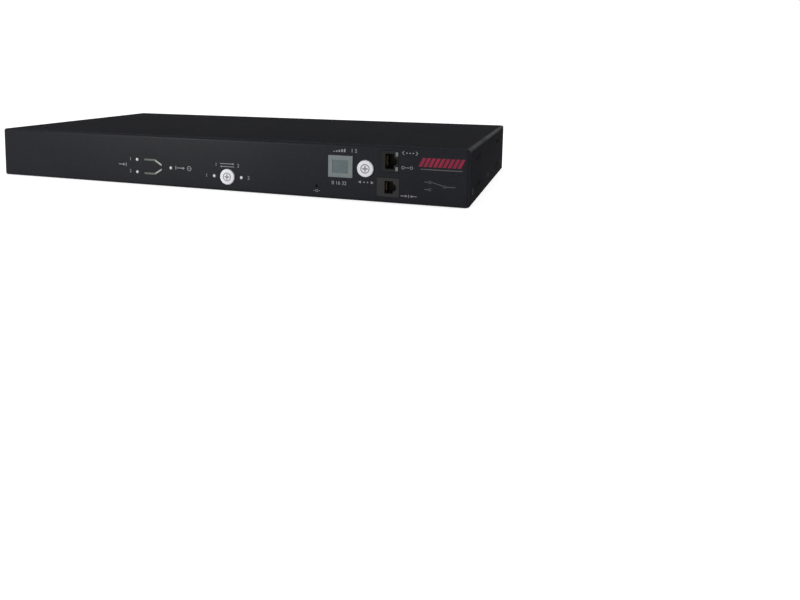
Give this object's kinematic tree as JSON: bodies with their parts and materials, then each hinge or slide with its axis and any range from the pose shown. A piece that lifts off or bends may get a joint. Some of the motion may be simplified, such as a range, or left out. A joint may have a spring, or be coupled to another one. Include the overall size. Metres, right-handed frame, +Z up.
{
  "type": "rack transfer switch",
  "caption": "Flat rack-mounted transfer switch in a black steel case: status panel with lamps, buttons, display and jacks in front, mains inlets and outlets behind.",
  "frame": {"origin": "centre of the case's underside, midway between the front panel and the rear wall", "axes": "+X along the front panel to its right end, +Y from the front panel to the rear, +Z up"},
  "size_m": [0.432, 0.2433, 0.0437],
  "materials": {
    "black_steel": "fine-textured black powder coat",
    "zinc_steel": "bright zinc plate",
    "black_screw": "blackened steel",
    "white_cap": "satin white moulded plastic",
    "switch_plastic": "black moulded plastic",
    "lamp_lens": "milky lamp lens",
    "light_bar": "translucent light guide",
    "display_rim": "grey moulded plastic",
    "display_pane": "tinted clear plastic",
    "jack_plastic": "black moulded plastic",
    "serial_plastic": "dark grey moulded plastic",
    "gold_contact": "gold plate",
    "brass_contact": "brass",
    "nickel_pin": "nickel plate",
    "board_green": "green solder mask",
    "socket_black": "black moulded plastic",
    "breaker_red": "red moulded plastic",
    "insulator": "translucent film",
    "relay_case": "blue moulded plastic",
    "transformer_case": "potted black case",
    "capacitor_sleeve": "printed sleeve",
    "fuse_glass": "glass with plated caps",
    "terminal_green": "green moulded plastic",
    "wire_black": "black insulation",
    "ribbon_grey": "grey ribbon insulation"
  },
  "bodies": {
    "case": {"chassis_tray": "black_steel", "top_cover": "black_steel", "cover_screws": "black_screw", "bracket_nuts": "zinc_steel", "control_board": "board_green", "control_board_standoffs": "zinc_steel", "control_board_screws": "zinc_steel", "control_chips": "switch_plastic", "button_switches": "switch_plastic", "input_lamps": "lamp_lens", "output_lamp": "lamp_lens", "preference_lamps": "lamp_lens", "lamp_spacers": "switch_plastic", "light_bar_a": "light_bar", "light_bar_b": "light_bar", "display_bezel": "display_rim", "display_window": "display_pane", "display_module": "switch_plastic", "network_jack": "jack_plastic", "network_contacts": "gold_contact", "network_jack_lamps": "lamp_lens", "serial_jack": "serial_plastic", "serial_contacts": "gold_contact", "outlet_bank_1": "socket_black", "outlet_bank_2": "socket_black", "outlet_contacts": "brass_contact", "large_outlet": "socket_black", "large_outlet_contacts": "brass_contact", "inlet_a": "socket_black", "inlet_b": "socket_black", "inlet_a_pins": "nickel_pin", "inlet_b_pins": "nickel_pin", "breaker_1": "socket_black", "breaker_2": "socket_black", "breaker_nuts": "nickel_pin", "earth_stud": "brass_contact", "earth_nut": "nickel_pin", "power_board": "board_green", "power_board_standoffs": "brass_contact", "power_board_screws": "zinc_steel", "insulating_sheet": "insulator", "changeover_relays": "relay_case", "control_transformers": "transformer_case", "storage_capacitors": "capacitor_sleeve", "board_fuses": "fuse_glass", "fuse_clips": "nickel_pin", "current_sensor": "transformer_case", "terminal_blocks": "terminal_green", "terminal_screws": "nickel_pin", "input_wires": "wire_black", "output_wires": "wire_black", "ribbon_cable": "ribbon_grey", "ribbon_plugs": "switch_plastic"},
    "preference_key": {"preference_button": "white_cap", "preference_plunger": "switch_plastic"},
    "select_key": {"select_button": "white_cap", "select_plunger": "switch_plastic"},
    "reset_key": {"reset_plunger": "switch_plastic"},
    "breaker_reset_1": {"breaker_button_1": "breaker_red"},
    "breaker_reset_2": {"breaker_button_2": "breaker_red"}
  },
  "joints": [
    {"name": "preference_press", "type": "slide", "parent": "case", "child": "preference_key", "axis": [0, 1, 0], "range_m": [0, 0.0008], "stiffness_N_per_m": 1500, "springref_m": -0.0004},
    {"name": "select_press", "type": "slide", "parent": "case", "child": "select_key", "axis": [0, 1, 0], "range_m": [0, 0.0008], "stiffness_N_per_m": 1500, "springref_m": -0.0004},
    {"name": "reset_press", "type": "slide", "parent": "case", "child": "reset_key", "axis": [0, 1, 0], "range_m": [0, 0.0006], "stiffness_N_per_m": 1500, "springref_m": -0.0003},
    {"name": "breaker_trip_1", "type": "slide", "parent": "case", "child": "breaker_reset_1", "axis": [0, 1, 0], "range_m": [0, 0.004]},
    {"name": "breaker_trip_2", "type": "slide", "parent": "case", "child": "breaker_reset_2", "axis": [0, 1, 0], "range_m": [0, 0.004]}
  ]
}
